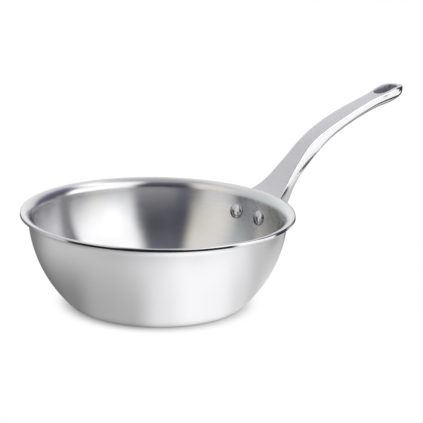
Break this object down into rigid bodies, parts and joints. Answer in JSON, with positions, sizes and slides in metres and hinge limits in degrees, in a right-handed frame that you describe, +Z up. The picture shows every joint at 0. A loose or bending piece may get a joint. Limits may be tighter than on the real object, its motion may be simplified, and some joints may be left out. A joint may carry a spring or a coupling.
{
  "type": "saute pan",
  "caption": "Round clad steel pan with a curved wall, flat base and flared pouring lip, and a riveted cast handle that rises to a flat grip with a hanging hole.",
  "frame": {"origin": "centre of the base's underside, on the surface that the pan stands on", "axes": "+Z up along the bowl's axis, +X from the bowl's axis along the handle, +Y to the left of the handle seen from its nose"},
  "size_m": [0.4266, 0.24, 0.1608],
  "materials": {
    "satin_lining": "satin, finely brushed around the bowl",
    "polished_skin": "polished",
    "pure_aluminium": "matt, seen only at the lip's cut edge",
    "aluminium_alloy": "matt, seen only at the lip's cut edge",
    "cast_steel": "satin top face, polished sides",
    "rivet_steel": "polished"
  },
  "bodies": {
    "root": {"inner_steel_lining": "satin_lining", "inner_alloy_layer": "aluminium_alloy", "aluminium_core": "pure_aluminium", "outer_alloy_layer": "aluminium_alloy", "outer_steel_skin": "polished_skin", "handle": "cast_steel", "rivet_left": "rivet_steel", "rivet_right": "rivet_steel"}
  },
  "joints": []
}
